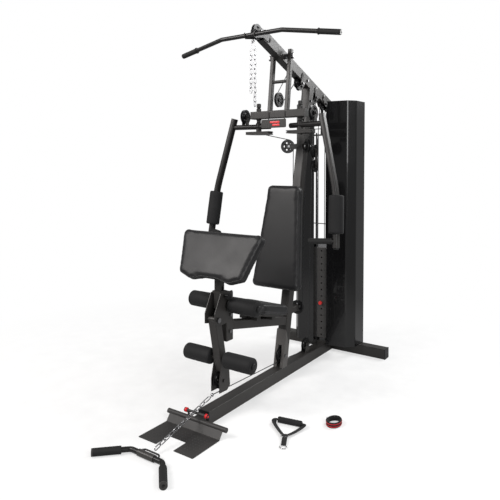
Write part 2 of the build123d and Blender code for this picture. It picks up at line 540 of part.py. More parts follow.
def fly_arm():
    """The right butterfly arm: pivot shaft, cross tube, cam, long bowed arm, press handle and pulley."""
    slope = (ARM_TOP[1] - FLY_Y) / (ARM_TOP[0] - FLY_X)

    def tube_y(x):
        return FLY_Y + slope * (x - FLY_X)

    path = FilletPolyline(ARM_TOP, ARM_KNEE, ARM_END, radius=900)
    start = Plane(origin=path @ 0, x_dir=(1, 0, 0), z_dir=path % 0)
    arm = sweep(start * RectangleRounded(ARM_WIDE, ARM_DEEP, 10), path)
    tube = rod((72, tube_y(72), TUBE_Z), (ARM_TOP[0] + 12, tube_y(ARM_TOP[0] + 12), TUBE_Z), TUBE_D)
    shaft = rod((FLY_X, FLY_Y, CAM_Z - 9), (FLY_X, FLY_Y, BEAM_Z + BEAM_HIGH / 2 + 12), FLY_SHAFT_D)
    low = BEAM_Z - BEAM_HIGH / 2
    waist = revolve(Plane(origin=(FLY_X, FLY_Y, 0), x_dir=(1, 0, 0), z_dir=(0, -1, 0)) * make_face(Polyline(
        (5, TUBE_Z), (19, TUBE_Z), (19, TUBE_Z + 20), (13, TUBE_Z + 28), (13, low - 10), (18, low - AIR),
        (5, low - AIR), close=True)), Axis((FLY_X, FLY_Y, 0), (0, 0, 1)))
    handle = rod(HANDLE_ROOT, HANDLE_END, BAR_D)
    body = arm + tube + shaft + waist + handle
    top = BEAM_Z + BEAM_HIGH / 2 + AIR
    knob = revolve(Plane(origin=(FLY_X, FLY_Y, 0), x_dir=(1, 0, 0), z_dir=(0, -1, 0)) * make_face(Polyline(
        (0, top), (15, top), (15, top + 16), (11, top + 20), (11, top + 24), (14, top + 28), (14, top + 46),
        (11, top + 50), (0, top + 50), close=True)), Axis((FLY_X, FLY_Y, 0), (0, 0, 1))) - shaft
    cam = rod((FLY_X, FLY_Y, CAM_Z - 9), (FLY_X, FLY_Y, CAM_Z + 9), 2 * CAM_R)
    cam -= block((0, 400), (0, FLY_Y - 22), (CAM_Z - 20, CAM_Z + 20))
    ring = rod((FLY_X, FLY_Y, CAM_Z - 3), (FLY_X, FLY_Y, CAM_Z + 3), 2 * CAM_R + 10)
    groove = ring - rod((FLY_X, FLY_Y, CAM_Z - 3), (FLY_X, FLY_Y, CAM_Z + 3), 2 * CAM_R - 12)
    hub = rod((FLY_X, FLY_Y, CAM_Z + 9), (FLY_X, FLY_Y, TUBE_Z - 10), 34) - body
    x, y, z = ARM_PULLEY
    plates = [block((x + side - 1.5, x + side + 1.5), (y - 17, y + 17), (TUBE_Z, z + 16)) - body
              - rod((x - 40, y, z), (x + 40, y, z), BOLT_D) for side in (-14.5, 14.5)]
    return body, cam - groove - shaft, hub, knob, plates, axle(ARM_PULLEY, 16, gap_to=13)


def arm_foams(body):
    """Foam grip round the long arm, and the rubber grip on the press handle."""
    knee, end = Vector(*ARM_KNEE), Vector(*ARM_END)
    down = (end - knee).normalized()
    first, last = knee + down * 5, knee + down * 220
    foam = rod(tuple(first), tuple(last), ROLLER_D)
    foam = fillet(foam.edges().filter_by(GeomType.CIRCLE), 7) - body
    handle = (Vector(*HANDLE_END) - Vector(*HANDLE_ROOT)).normalized()
    grip_start = Vector(*HANDLE_ROOT) + handle * 26
    grip = rod(tuple(grip_start), tuple(Vector(*HANDLE_END) + handle * 4), GRIP_D) - body
    return foam, grip


# ---------------------------------------------------------------- leg developer
DEV_END, YOKE_PULLEY = (-398.5, 241), (-416, 187)


def developer():
    y, z = DEV_PIVOT
    low_y, low_z = DEV_END
    tube = box_tube((0, y + 12, z), (0, low_y, low_z), 50, 50)
    eye = rod((-BRACKET_IN + AIR, y, z), (BRACKET_IN - AIR, y, z), 30, 16 + 2 * RUN_FIT)
    tube -= rod((-40, y, z), (40, y, z), 30)
    tube -= rod((-40, *LOWER_AXLE), (40, *LOWER_AXLE), 20)
    tube -= block((-40, 40), (-700, -200), (z + 34, 900))
    roller = rod((-ROLLER_OUT - 8, *LOWER_AXLE), (ROLLER_OUT + 8, *LOWER_AXLE), 20)
    outline = [(-431, 285), (-372, 285), (-360, 150), (-386, 128), (-452, 130), (-452, 200)]
    fork = both(yz_plate(25, PLATE, outline, (*YOKE_PULLEY, BOLT_D)))
    save("leg_developer", tube, eye, roller, fork, axle((0, *YOKE_PULLEY), 29, gap_to=25))
    save("leg_foam_rollers", roller_pair(LOWER_AXLE))
    save("leg_pulley", wheel((0, *YOKE_PULLEY)))


# ---------------------------------------------------------------- pulleys and their brackets
FOOT_PULLEY_YZ, BASE_PULLEY_YZ = SLOT_PULLEY, (527, 118)
BLOCK_Y, BLOCK_HIGH, BLOCK_LOW = 645, 1430, 1330
SWIVEL, SWIVEL_TURN, RETURN_PULLEY = (-73, 410, 1457), 45, (0, 412, 400)
HANGER_W = 44


def hanger(y, z, top_y):
    """Two plates on the boom's sides that carry a pulley at (y, z), and its axle with spacers."""
    inner = BOOM_WIDE / 2
    plates = both(yz_link(inner, PLATE, (top_y, boom_z(top_y)), (y, z), HANGER_W, (y, z, BOLT_D)))
    return plates, axle((0, y, z), inner + PLATE, gap_to=inner)


def pulleys():
    """Every fixed pulley with its bracket plates; returns the plates and the axles."""
    plates, axles = [], []
    for name, (y, z), top_y in (("lat_pulley", LAT_PULLEY_YZ, 24), ("boom_front_pulley", FRONT_PULLEY_YZ, 440),
                                ("boom_rear_pulley", REAR_PULLEY_YZ, 622), ("stack_pulley", STACK_PULLEY_YZ, 736)):
        save(name, wheel((0, y, z)))
        pair, pins = hanger(y, z, top_y)
        plates += pair
        axles += pins
    save("press_pulley", wheel((0, *PRESS_PULLEY_YZ)))
    y, z = FOOT_PULLEY_YZ
    save("foot_pulley", wheel((0, y, z)))
    axles += axle((0, y, z), POST / 2 + PLATE, gap_to=POST / 2 - WALL)
    y, z = BASE_PULLEY_YZ
    save("base_pulley", wheel((0, y, z)))
    outline = [(y - 32, BASE), (y + 32, BASE), (y + 16, z + 16), (y - 16, z + 16)]
    plates += both(yz_plate(13, PLATE, outline, (y, z, BOLT_D)))
    axles += axle((0, y, z), 13 + PLATE, gap_to=13)
    x, y, z = RETURN_PULLEY
    save("fly_return_pulley", wheel(RETURN_PULLEY, axis=(0, 1, 0)))
    face = y - PULLEY_W / 2 - 3
    upright_solid = bar((0, upright_y(100), 100), (0, upright_y(900), 900), POST, POST)
    arm = box_tube((0, upright_y(z), z), (0, face - PLATE, z), 40, 40) - upright_solid
    plate = block((-20, 20), (face - PLATE, face), (z - 20, z + 20)) - rod((0, 0, z), (0, 600, z), BOLT_D)
    plates += [arm, plate]
    axles += axle(RETURN_PULLEY, y - face + PLATE, axis=(0, 1, 0), gap_to=y - face)
    return plates, axles


def swivels():
    """The butterfly cable's two swivelled pulleys, and the yokes that hold them beside the upright."""
    turn = radians(SWIVEL_TURN)
    out, axis = Vector(cos(turn), sin(turn), 0), Vector(sin(turn), -cos(turn), 0)
    centre = Vector(*SWIVEL)
    left = wheel(SWIVEL, axis=tuple(axis))
    save("swivel_pulley_left", left)
    save("swivel_pulley_right", mirror(left, about=Plane.YZ))
    z1, z2 = SWIVEL[2] - 300, SWIVEL[2] + 300
    upright_solid = bar((0, upright_y(z1), z1), (0, upright_y(z2), z2), POST, POST)
    yoke = []
    for offset_by in (-13.5, 13.5):
        start = centre - out * 17 + axis * offset_by
        cheek = bar(tuple(start), tuple(start + out * 92), 3, 34, side=tuple(axis))
        hole = rod(tuple(centre - axis * 30), tuple(centre + axis * 30), BOLT_D)
        yoke.append(cheek - upright_solid - hole)
    return both(yoke), both(axle(SWIVEL, 15, axis=tuple(axis), gap_to=12))


def floating_block():
    """The double pulley that the high cable and the low cable pull against."""
    save("block_pulley_upper", wheel((0, BLOCK_Y, BLOCK_HIGH)))
    save("block_pulley_lower", wheel((0, BLOCK_Y, BLOCK_LOW)))
    ends = (BLOCK_Y, BLOCK_HIGH), (BLOCK_Y, BLOCK_LOW)
    cheeks = both(yz_link(12, 3, *ends, 34, *[(*end, BOLT_D) for end in ends]))
    pins = [axle((0, *end), 15, gap_to=12) for end in ends]
    save("floating_block", cheeks, pins)


# ---------------------------------------------------------------- cables
def belt(stops):
    """The path of a tight cable in the middle plane. A stop is (y, z, turn): turn is 0 at an end,
    and 1 or -1 for a pulley that the cable goes round anticlockwise or clockwise, seen from +X."""
    lines = []
    for (y1, z1, s1), (y2, z2, s2) in zip(stops, stops[1:]):
        gap = hypot(y2 - y1, z2 - z1)
        angle = atan2(z2 - z1, y2 - y1) - asin((s2 - s1) * GROOVE_R / gap)
        side = (-sin(angle), cos(angle))
        lines.append([(y - s * GROOVE_R * side[0], z - s * GROOVE_R * side[1])
                      for y, z, s in ((y1, z1, s1), (y2, z2, s2))])
    edges = []
    for i, (start, end) in enumerate(lines):
        edges.append(Line((0, *start), (0, *end)))
        if i + 1 < len(lines):
            y, z, turn = stops[i + 1]
            leave = lines[i + 1][0]
            a1, a2 = atan2(end[1] - z, end[0] - y), atan2(leave[1] - z, leave[0] - y)
            swing = (turn * (a2 - a1)) % (2 * pi)
            middle = a1 + turn * swing / 2
            edges.append(ThreePointArc((0, *end), (0, y + GROOVE_R * cos(middle), z + GROOVE_R * sin(middle)),
                                       (0, *leave)))
    return Wire(edges)


def tight(stops):
    path = belt(stops)
    return sweep(Plane(origin=path @ 0, z_dir=path % 0) * Circle(CABLE_D / 2), path)


LAT_Y, LAT_END_Z = LAT_PULLEY_YZ[0] - GROOVE_R, 2050
LOW_END = (HOOK[0] + 11, HOOK[1] + 2)


def cables():
    high = tight([(LAT_Y, LAT_END_Z, 0), (*LAT_PULLEY_YZ, -1), (*REAR_PULLEY_YZ, -1), (BLOCK_Y, BLOCK_HIGH, 1),
                  (*STACK_PULLEY_YZ, -1), (STACK_Y, STACK_TOP + 50, 0)])
    save("high_cable", high)
    low = tight([(LOW_END[0] + 11, LOW_END[1], 0), (*FOOT_PULLEY_YZ, 1), (*BASE_PULLEY_YZ, 1), (BLOCK_Y, BLOCK_LOW, -1),
                 (BLOCK_Y + GROOVE_R, BASE + 6, 0)])
    save("low_cable", low)
    anchor_y = 300
    press_line = tight([(anchor_y, boom_z(anchor_y) - BOOM_DROP - 4, 0), (*PRESS_PULLEY_YZ, 1), (*FRONT_PULLEY_YZ, -1),
                        (FRONT_PULLEY_YZ[0] + GROOVE_R, 1548, 0)])
    save("arm_cables", press_line, fly_line())


def fly_line():
    """The butterfly cable: cam, swivel pulley, return pulley behind the upright, and back the same way."""
    turn, cam_r = radians(SWIVEL_TURN), CAM_R - 3
    x, y, z = SWIVEL
    over = Vector(x + GROOVE_R * cos(turn), y + GROOVE_R * sin(turn), z + GROOVE_R)
    centre = Vector(-FLY_X, FLY_Y, CAM_Z)
    reach = Vector(over.X, over.Y, CAM_Z) - centre
    leave = atan2(reach.Y, reach.X) + acos(cam_r / reach.length)
    wrap = radians(52)
    half = cam_r / cos(wrap / 2)
    corner = centre + Vector(half * cos(leave + wrap / 2), half * sin(leave + wrap / 2), 0)
    back = leave + wrap
    start = centre + Vector(cam_r * cos(back) - 2 * sin(back), cam_r * sin(back) + 2 * cos(back), 0)
    low_z = RETURN_PULLEY[2] - GROOVE_R
    low = Vector(-GROOVE_R, RETURN_PULLEY[1], low_z)
    tangent = centre + Vector(cam_r * cos(leave), cam_r * sin(leave), 0)
    free = tangent + Vector(sin(leave), -cos(leave), 0) * 40
    left = [start, corner, free, over, low]
    points = left + [Vector(-p.X, p.Y, p.Z) for p in reversed(left)]
    bends = [cam_r, 150, GROOVE_R, GROOVE_R - 1]
    return cable([tuple(p) for p in points], bends + bends[::-1])


# ---------------------------------------------------------------- bars, chains and accessories
LAT_BEND_X, LAT_END = 207, (539, -87, 2019)


def lat_bar():
    y, z = LAT_BAR
    ends = [(-LAT_END[0], *LAT_END[1:]), LAT_END]
    path = FilletPolyline(ends[0], (-LAT_BEND_X, y, z), (LAT_BEND_X, y, z), ends[1], radius=70)
    tube = sweep(Plane(origin=path @ 0, z_dir=path % 0) * Circle(BAR_D / 2), path)
    bend, end = Vector(LAT_BEND_X, y, z), Vector(*LAT_END)
    out = (end - bend).normalized()
    grip = rod(tuple(end - out * 125), tuple(end + out * 4), BAR_D + 5) - tube
    save("lat_bar", tube, both(grip))
    x1, arm = BOOM_WIDE / 2 + PLATE, 6
    plane = Plane(origin=(x1, 0, 0), x_dir=(0, 1, 0), z_dir=(1, 0, 0))
    ring = Pos(y, z) * Circle(BAR_D / 2 + 7)
    lug = make_face(Polyline((y, z - BAR_D / 2 - 7), (LAT_PULLEY_YZ[0] + 20, z - 4), (LAT_PULLEY_YZ[0] + 20, z + 26),
                             (y + 12, z + 4), close=True))
    opening = Pos(y, z) * Circle(BAR_D / 2 + AIR) + Pos(y, z + 40) * Rectangle(BAR_D + 2 * AIR, 80)
    return both(extrude(plane * ((ring + lug) - opening), arm))


def lat_chain():
    """Stop ball, spring hook and the two hanging strands of chain on the high cable's end."""
    ball = Pos(0, LAT_Y, LAT_END_Z - 9.5) * Sphere(9)
    hook = Pos(0, LAT_Y, 2012) * link(6, 38, 32)
    strands = [chain((x, LAT_Y, 1987), (x, LAT_Y, foot)) for x, foot in ((-14, 1740), (13, 1668))]
    save("lat_chain", ball, hook, strands)


LOW_BEND, GRIP_REACH, LOW_X = 100, 175, 5


def low_bar():
    y, z = LOW_BAR_Y, LOW_BAR_Z
    reach = GRIP_REACH * cos(radians(45))
    points = [(LOW_X - LOW_BEND - reach, y - reach, z), (LOW_X - LOW_BEND, y, z), (LOW_X + LOW_BEND, y, z),
              (LOW_X + LOW_BEND + reach, y - reach, z)]
    path = FilletPolyline(*points, radius=35)
    tube = sweep(Plane(origin=path @ 0, z_dir=path % 0) * Circle(BAR_D / 2), path)
    grips = []
    for end, bend in ((points[0], points[1]), (points[3], points[2])):
        out = (Vector(*end) - Vector(*bend)).normalized()
        grips.append(rod(tuple(Vector(*end) - out * 130), tuple(Vector(*end) + out * 4), 2 * LOW_BAR_Z) - tube)
    sleeve = rod((LOW_X - 50, y, z), (LOW_X + 50, y, z), 32, BAR_D)
    bow_path = FilletPolyline((LOW_X - 56, y, z), (LOW_X - 56, y + 36, z), (LOW_X + 56, y + 36, z),
                              (LOW_X + 56, y, z), radius=22)
    bow = sweep(Plane(origin=bow_path @ 0, z_dir=bow_path % 0) * Circle(4), bow_path) - tube
    save("low_bar", tube, grips, sleeve, bow)
    start, end = Vector(0, *HOOK), Vector(LOW_X, y + 34, z)
    away = (end - start).normalized()
    ball = Pos(0, *LOW_END) * Sphere(9)
    snap_plane, _ = along(tuple(start), tuple(end))
    snap = snap_plane.location * Pos(0, 0, 34) * link(5, 48, 24)
    links = chain(tuple(start + away * 58), tuple(end - away * 8), wire=5, inner_length=34, width=22, twist=90)
    save("low_chain", ball, snap, links)


def strap_handle():
    """Hand grip with its loop of webbing, buckle and ring, lying on the floor."""
    grip = rod((307, -316, 16), (434, -292, 16), 32, 12)
    meet, tail = (418, -436, 10), (452, -502, 6)
    straps = [bar((309, -334, 9), meet, 26, 3), bar((436, -310, 9), meet, 26, 3)]
    straps = [straps[0] - straps[1], straps[1]]
    end = bar(meet, tail, 26, 3) - straps
    ring = Pos(461, -519, 4) * Torus(15, 2.5)
    save("strap_handle", grip, [s - grip for s in straps], end, ring - end)


def ankle_strap():
    band = RectangleRounded(76, 100, 34) - RectangleRounded(58, 82, 25)
    save("ankle_strap", Pos(555, -172, 0) * extrude(band, 30))


# ---------------------------------------------------------------- fasteners and assembly
def side_bolts():
    """Hexagon bolt heads and nuts on the frame's joints, on both sides."""
    upright_at = [(upright_y(z), z, POST / 2) for z in (560, 1090, 1620, 1760)]
    boom_at = [(y, boom_z(y), BOOM_WIDE / 2) for y in (500, 885, 915)]
    front_at = [(FRONT_POST_Y, 530, BRACKET_IN + PLATE), (FRONT_POST_Y, 440, POST / 2)]
    return both([rod((x, y, z), (x + 7, y, z), 17) for y, z, x in upright_at + boom_at + front_at])


def pivots():
    """The press frame's pivot shaft with its spacers, and the leg developer's pivot bolt."""
    y, z = PRESS_PIVOT
    shaft = bolt((-76, y, z), (76, y, z), FLY_SHAFT_D)
    spacers = both(rod((BOOM_WIDE / 2, y, z), (48.5 - AIR, y, z), 32, FLY_SHAFT_D))
    y, z = DEV_PIVOT
    developer_bolt = bolt((-BRACKET_IN - PLATE, y, z), (BRACKET_IN + PLATE, y, z), 16)
    return shaft, spacers, developer_bolt


def main():
    base()
    pegs = foot_plate()
    stabiliser, front, boom = end_caps()
    save("frame_end_caps", stabiliser, front, boom, pegs)
    foot_bracket = upright()
    boom_and_mast()
    front_bracket(seat_frame())
    save("pad_supports", seat(), back())
    curl()
    stack()
    tower()
    press()
    body, *rest = fly_arm()
    save("fly_arm_right", body, rest)
    save("fly_arm_left", mirror(Compound(children=list(flat([body, *rest]))), about=Plane.YZ))
    foams = arm_foams(body)
    save("arm_grips_right", foams)
    save("arm_grips_left", [mirror(foam, about=Plane.YZ) for foam in foams])
    x, y, z = ARM_PULLEY
    save("arm_pulley_right", wheel(ARM_PULLEY))
    save("arm_pulley_left", wheel((-x, y, z)))
    developer()
    plates, axles = pulleys()
    yokes, yoke_axles = swivels()
    rests = lat_bar()
    save("pulley_brackets", plates, yokes, rests, foot_bracket)
    save("fasteners", axles, yoke_axles, side_bolts(), pivots())
    floating_block()
    cables()
    lat_chain()
    low_bar()
    strap_handle()
    ankle_strap()


main()
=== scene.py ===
"""Looks of the multi station home gym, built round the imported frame. Metres, same axes as the frame."""
import math
import random

import bmesh
import bpy
from mathutils import Matrix, Vector

import json


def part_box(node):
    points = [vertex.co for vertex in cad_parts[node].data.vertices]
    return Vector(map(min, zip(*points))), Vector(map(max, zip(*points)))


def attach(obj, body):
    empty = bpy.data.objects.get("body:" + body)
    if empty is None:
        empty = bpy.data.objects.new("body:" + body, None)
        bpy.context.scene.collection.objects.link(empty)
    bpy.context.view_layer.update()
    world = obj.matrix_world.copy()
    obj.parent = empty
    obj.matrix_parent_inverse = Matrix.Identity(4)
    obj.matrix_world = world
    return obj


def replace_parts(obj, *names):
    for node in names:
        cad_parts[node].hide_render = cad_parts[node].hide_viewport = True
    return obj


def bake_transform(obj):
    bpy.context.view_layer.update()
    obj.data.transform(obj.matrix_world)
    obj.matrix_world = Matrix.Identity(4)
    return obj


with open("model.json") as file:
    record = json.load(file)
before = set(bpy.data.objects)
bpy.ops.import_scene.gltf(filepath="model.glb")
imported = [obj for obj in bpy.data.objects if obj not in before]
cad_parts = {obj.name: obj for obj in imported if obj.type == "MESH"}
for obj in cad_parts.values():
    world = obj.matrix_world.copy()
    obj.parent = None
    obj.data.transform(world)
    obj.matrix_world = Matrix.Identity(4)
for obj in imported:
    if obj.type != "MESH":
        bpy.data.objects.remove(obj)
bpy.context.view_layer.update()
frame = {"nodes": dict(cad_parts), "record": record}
NODES = frame["nodes"]

# ---------------------------------------------------------------- camera, light and floor
CAMERA_AT = (1.7587, -2.6540, 1.3284)
CAMERA_TURN = (88.06, 0.0, 34.88)
LENS, SENSOR, SHIFT_Y = 38.77, 36.0, -0.1316


def add_camera():
    data = bpy.data.cameras.new("camera")
    data.lens, data.sensor_width, data.shift_y = LENS, SENSOR, SHIFT_Y
    data.clip_start, data.clip_end = 0.05, 60.0
    camera = bpy.data.objects.new("camera", data)
    camera.location = CAMERA_AT
    camera.rotation_euler = [math.radians(turn) for turn in CAMERA_TURN]
    bpy.context.collection.objects.link(camera)
    bpy.context.scene.camera = camera


def add_area(name, at, target, size, power, colour=(1, 1, 1)):
    data = bpy.data.lights.new(name, "AREA")
    data.size, data.energy, data.color = size, power, colour
    lamp = bpy.data.objects.new(name, data)
    lamp.location = at
    lamp.rotation_euler = (Vector(target) - Vector(at)).to_track_quat("-Z", "Y").to_euler()
    bpy.context.collection.objects.link(lamp)


# The walls' light on things and as the camera sees it; the floor turns into wall between two distances.
WORLD_LIGHT, WORLD_SEEN = 0.30, 1.0
FADE_CENTRE, FADE_FROM, FADE_TO = (0.0, -0.1, 0.0), -1.2, 2.6
FLOOR_SIZE, FLOOR_DROP = 80, 0.0005


def lit_or_seen(tree):
    """The walls' strength: WORLD_SEEN for the camera and WORLD_LIGHT for everything else."""
    path, strength = tree.nodes.new("ShaderNodeLightPath"), tree.nodes.new("ShaderNodeMapRange")
    strength.inputs["To Min"].default_value = WORLD_LIGHT
    strength.inputs["To Max"].default_value = WORLD_SEEN
    tree.links.new(path.outputs["Is Camera Ray"], strength.inputs["Value"])
    return strength.outputs["Result"]


def floor_finish():
    """Pale studio floor that fades into the white of the walls away from the machine."""
    material = finish_of("floor_paint", (0.90, 0.90, 0.90), 0.75, grain=(40, 0.02))
    tree = material.node_tree
    nodes, links = tree.nodes, tree.links
    place, distance = nodes.new("ShaderNodeNewGeometry"), nodes.new("ShaderNodeVectorMath")
    distance.operation = "DISTANCE"
    distance.inputs[1].default_value = FADE_CENTRE
    links.new(place.outputs["Position"], distance.inputs[0])
    fade = nodes.new("ShaderNodeMapRange")
    fade.inputs["From Min"].default_value, fade.inputs["From Max"].default_value = FADE_FROM, FADE_TO
    links.new(distance.outputs["Value"], fade.inputs["Value"])
    glow = nodes.new("ShaderNodeEmission")
    links.new(lit_or_seen(tree), glow.inputs["Strength"])
    mix, output = nodes.new("ShaderNodeMixShader"), nodes["Material Output"]
    links.new(fade.outputs["Result"], mix.inputs[0])
    links.new(nodes["Principled BSDF"].outputs["BSDF"], mix.inputs[1])
    links.new(glow.outputs["Emission"], mix.inputs[2])
    links.new(mix.outputs["Shader"], output.inputs["Surface"])
    return material




def add_studio():
    world = bpy.data.worlds.new("studio")
    bpy.context.scene.world = world
    world.use_nodes = True
    tree = world.node_tree
    background = tree.nodes["Background"]
    background.inputs["Color"].default_value = (1.0, 1.0, 1.0, 1.0)
    tree.links.new(lit_or_seen(tree), background.inputs["Strength"])
    bpy.context.scene.view_settings.view_transform = "Standard"
    middle = (0.0, 0.0, 1.0)
    add_area("key", (-2.2, -3.6, 3.6), middle, 2.4, 210, (1.0, 0.97, 0.95))
    add_area("fill", (3.8, -2.2, 2.6), middle, 2.6, 130)
    add_area("rim", (1.5, 3.2, 3.4), middle, 2.2, 130)
    bpy.ops.mesh.primitive_plane_add(size=FLOOR_SIZE, location=(0, 0, -FLOOR_DROP))
    floor = bpy.context.object
    floor.name = "floor"
    floor.data.materials.append(floor_finish())


# ---------------------------------------------------------------- materials
PATCHY, ROUGH_SPREAD, CLOUD_SCALE = 0.12, 0.18, 9.0
# Painted highlight: sharp edges, found by pointiness between these two limits, are mixed towards this
# lighter grey-brown.
EDGE_HIGHLIGHT_COLOUR, EDGE_FROM, EDGE_TO = (0.10, 0.095, 0.09, 1), 0.52, 0.62


def finish_of(name, colour, rough, metal=0.0, grain=(600, 0.1), pattern="noise", coat=0.0, edge_highlight=0.0,
              sheen=0.0, distance=0.0004):
    """A procedural finish: patchy colour and roughness, fine relief, and a painted highlight that lightens
    sharp edges.
    """
    material = bpy.data.materials.new(name)
    material.use_nodes = True
    tree = material.node_tree
    nodes, links = tree.nodes, tree.links
    shader = nodes["Principled BSDF"]
    shader.inputs["Metallic"].default_value = metal
    shader.inputs["Coat Weight"].default_value = coat
    shader.inputs["Sheen Weight"].default_value = sheen
    shader.inputs["Specular IOR Level"].default_value = 0.5 if metal else 0.34
    place = nodes.new("ShaderNodeTexCoord")
    cloud = nodes.new("ShaderNodeTexNoise")
    cloud.inputs["Scale"].default_value, cloud.inputs["Detail"].default_value = CLOUD_SCALE, 5.0
    links.new(place.outputs["Object"], cloud.inputs["Vector"])
    tint = nodes.new("ShaderNodeMix")
    tint.data_type = "RGBA"
    tint.inputs[6].default_value = (*[c * (1 - PATCHY) for c in colour], 1)
    tint.inputs[7].default_value = (*[min(1, c * (1 + PATCHY)) for c in colour], 1)
    links.new(cloud.outputs["Fac"], tint.inputs[0])
    colour_out = tint.outputs[2]
    # Painted highlight: the colour is mixed towards a lighter grey-brown on sharp edges, found by
    # pointiness.
    if edge_highlight:
        edge = nodes.new("ShaderNodeNewGeometry")
        ramp = nodes.new("ShaderNodeMapRange")
        ramp.inputs["From Min"].default_value, ramp.inputs["From Max"].default_value = EDGE_FROM, EDGE_TO
        ramp.inputs["To Max"].default_value = edge_highlight
        links.new(edge.outputs["Pointiness"], ramp.inputs["Value"])
        highlit_edge = nodes.new("ShaderNodeMix")
        highlit_edge.data_type = "RGBA"
        highlit_edge.inputs[7].default_value = EDGE_HIGHLIGHT_COLOUR
        links.new(colour_out, highlit_edge.inputs[6])
        links.new(ramp.outputs["Result"], highlit_edge.inputs[0])
        colour_out = highlit_edge.outputs[2]
    links.new(colour_out, shader.inputs["Base Color"])
    spread = nodes.new("ShaderNodeMapRange")
    spread.inputs["To Min"].default_value = max(0.03, rough * (1 - ROUGH_SPREAD))
    spread.inputs["To Max"].default_value = min(1.0, rough * (1 + ROUGH_SPREAD))
    links.new(cloud.outputs["Fac"], spread.inputs["Value"])
    links.new(spread.outputs["Result"], shader.inputs["Roughness"])
    scale, strength = grain
    if pattern == "leather":
        relief = nodes.new("ShaderNodeTexVoronoi")
        relief.feature = "DISTANCE_TO_EDGE"
        out = relief.outputs["Distance"]
    elif pattern == "weave":
        relief = nodes.new("ShaderNodeTexMagic")
        relief.turbulence_depth = 2
        out = relief.outputs["Fac"]
    else:
        relief = nodes.new("ShaderNodeTexNoise")
        relief.inputs["Detail"].default_value = 3.0
        out = relief.outputs["Fac"]
    relief.inputs["Scale"].default_value = scale
    links.new(place.outputs["Object"], relief.inputs["Vector"])
    bump = nodes.new("ShaderNodeBump")
    bump.inputs["Strength"].default_value, bump.inputs["Distance"].default_value = strength, distance
    links.new(out, bump.inputs["Height"])
    links.new(bump.outputs["Normal"], shader.inputs["Normal"])
    return material


# The edge-lightening strengths given below set how strong the painted highlight on sharp edges is.
FINISHES = {
    "frame_paint": finish_of("frame_paint", (0.0070, 0.0062, 0.0060), 0.40, grain=(700, 0.12), edge_highlight=0.22),
    "tread_paint": finish_of("tread_paint", (0.010, 0.010, 0.011), 0.50, grain=(260, 0.3), edge_highlight=0.3),
    "end_cap_plastic": finish_of("end_cap_plastic", (0.007, 0.007, 0.0075), 0.5, grain=(400, 0.12)),
    "vinyl": finish_of("vinyl", (0.0075, 0.0074, 0.0082), 0.46, grain=(520, 0.22), pattern="leather",
                       sheen=0.03),
    "foam": finish_of("foam", (0.006, 0.006, 0.0066), 0.75, grain=(800, 0.5), sheen=0.03),
    "shroud_paint": finish_of("shroud_paint", (0.0040, 0.0040, 0.0044), 0.20, grain=(3, 0.06), coat=0.4,
                              distance=0.002),
    "bright_steel": finish_of("bright_steel", (0.40, 0.40, 0.41), 0.24, metal=1.0, grain=(500, 0.08)),
    "rubber": finish_of("rubber", (0.008, 0.008, 0.008), 0.7, grain=(300, 0.3)),
    "weight_plate": finish_of("weight_plate", (0.012, 0.012, 0.013), 0.55, grain=(220, 0.5), edge_highlight=0.3),
    "pin_head": finish_of("pin_head", (0.50, 0.02, 0.02), 0.3, grain=(200, 0.05)),
    "fastener": finish_of("fastener", (0.20, 0.20, 0.205), 0.3, metal=1.0, grain=(500, 0.1)),
    "cable_jacket": finish_of("cable_jacket", (0.014, 0.014, 0.015), 0.35, grain=(900, 0.2)),
    "cover": finish_of("cover", (0.009, 0.0085, 0.0085), 0.36, grain=(700, 0.1), edge_highlight=0.25),
    "bar_paint": finish_of("bar_paint", (0.0085, 0.0080, 0.0080), 0.33, grain=(700, 0.1), edge_highlight=0.3),
    "webbing": finish_of("webbing", (0.006, 0.006, 0.0065), 0.8, grain=(900, 0.6), pattern="weave",
                         sheen=0.04),
    "pulley_plastic": finish_of("pulley_plastic", (0.0065, 0.0065, 0.007), 0.38, grain=(300, 0.08)),
}
RED = finish_of("red_plastic", (0.62, 0.015, 0.02), 0.35, grain=(300, 0.08))
RED_BAND = finish_of("red_band", (0.45, 0.012, 0.016), 0.7, grain=(900, 0.5), pattern="weave", sheen=0.04)
GREY_PAINT = finish_of("grey_paint", (0.070, 0.066, 0.064), 0.42, grain=(700, 0.12), edge_highlight=0.2)


def dress_frame():
    for entry in frame["record"]["subparts"]:
        mesh = NODES[entry["node"]].data
        mesh.materials.clear()
        mesh.materials.append(FINISHES[entry["material_slot"]])


# ---------------------------------------------------------------- mesh helpers
def piece_from(name, bm, body, slot, material=None, smooth=True):
    mesh = bpy.data.meshes.new(name)
    bm.to_mesh(mesh)
    bm.free()
    obj = bpy.data.objects.new(name, mesh)
    bpy.context.collection.objects.link(obj)
    for face in mesh.polygons:
        face.use_smooth = smooth
    mesh.materials.append(material or FINISHES[slot])
    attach(obj, body)
    return obj


def frame_along(axis):
    """A rotation that takes +Z to the axis."""
    return Vector((0, 0, 1)).rotation_difference(Vector(axis).normalized()).to_matrix().to_4x4()


def lathe(bm, start, axis, profile, steps=48):
    """Turn a profile of (distance along the axis, radius) into a closed surface."""
    place = Matrix.Translation(Vector(start)) @ frame_along(axis)
    rings = []
    for along, radius in profile:
        rings.append([bm.verts.new(place @ Vector((radius * math.cos(a), radius * math.sin(a), along)))
                      for a in (2 * math.pi * i / steps for i in range(steps))])
    for low, high in zip(rings, rings[1:]):
        for i in range(steps):
            j = (i + 1) % steps
            bm.faces.new((low[i], low[j], high[j], high[i]))
    bm.faces.new(rings[0][::-1])
    bm.faces.new(rings[-1])


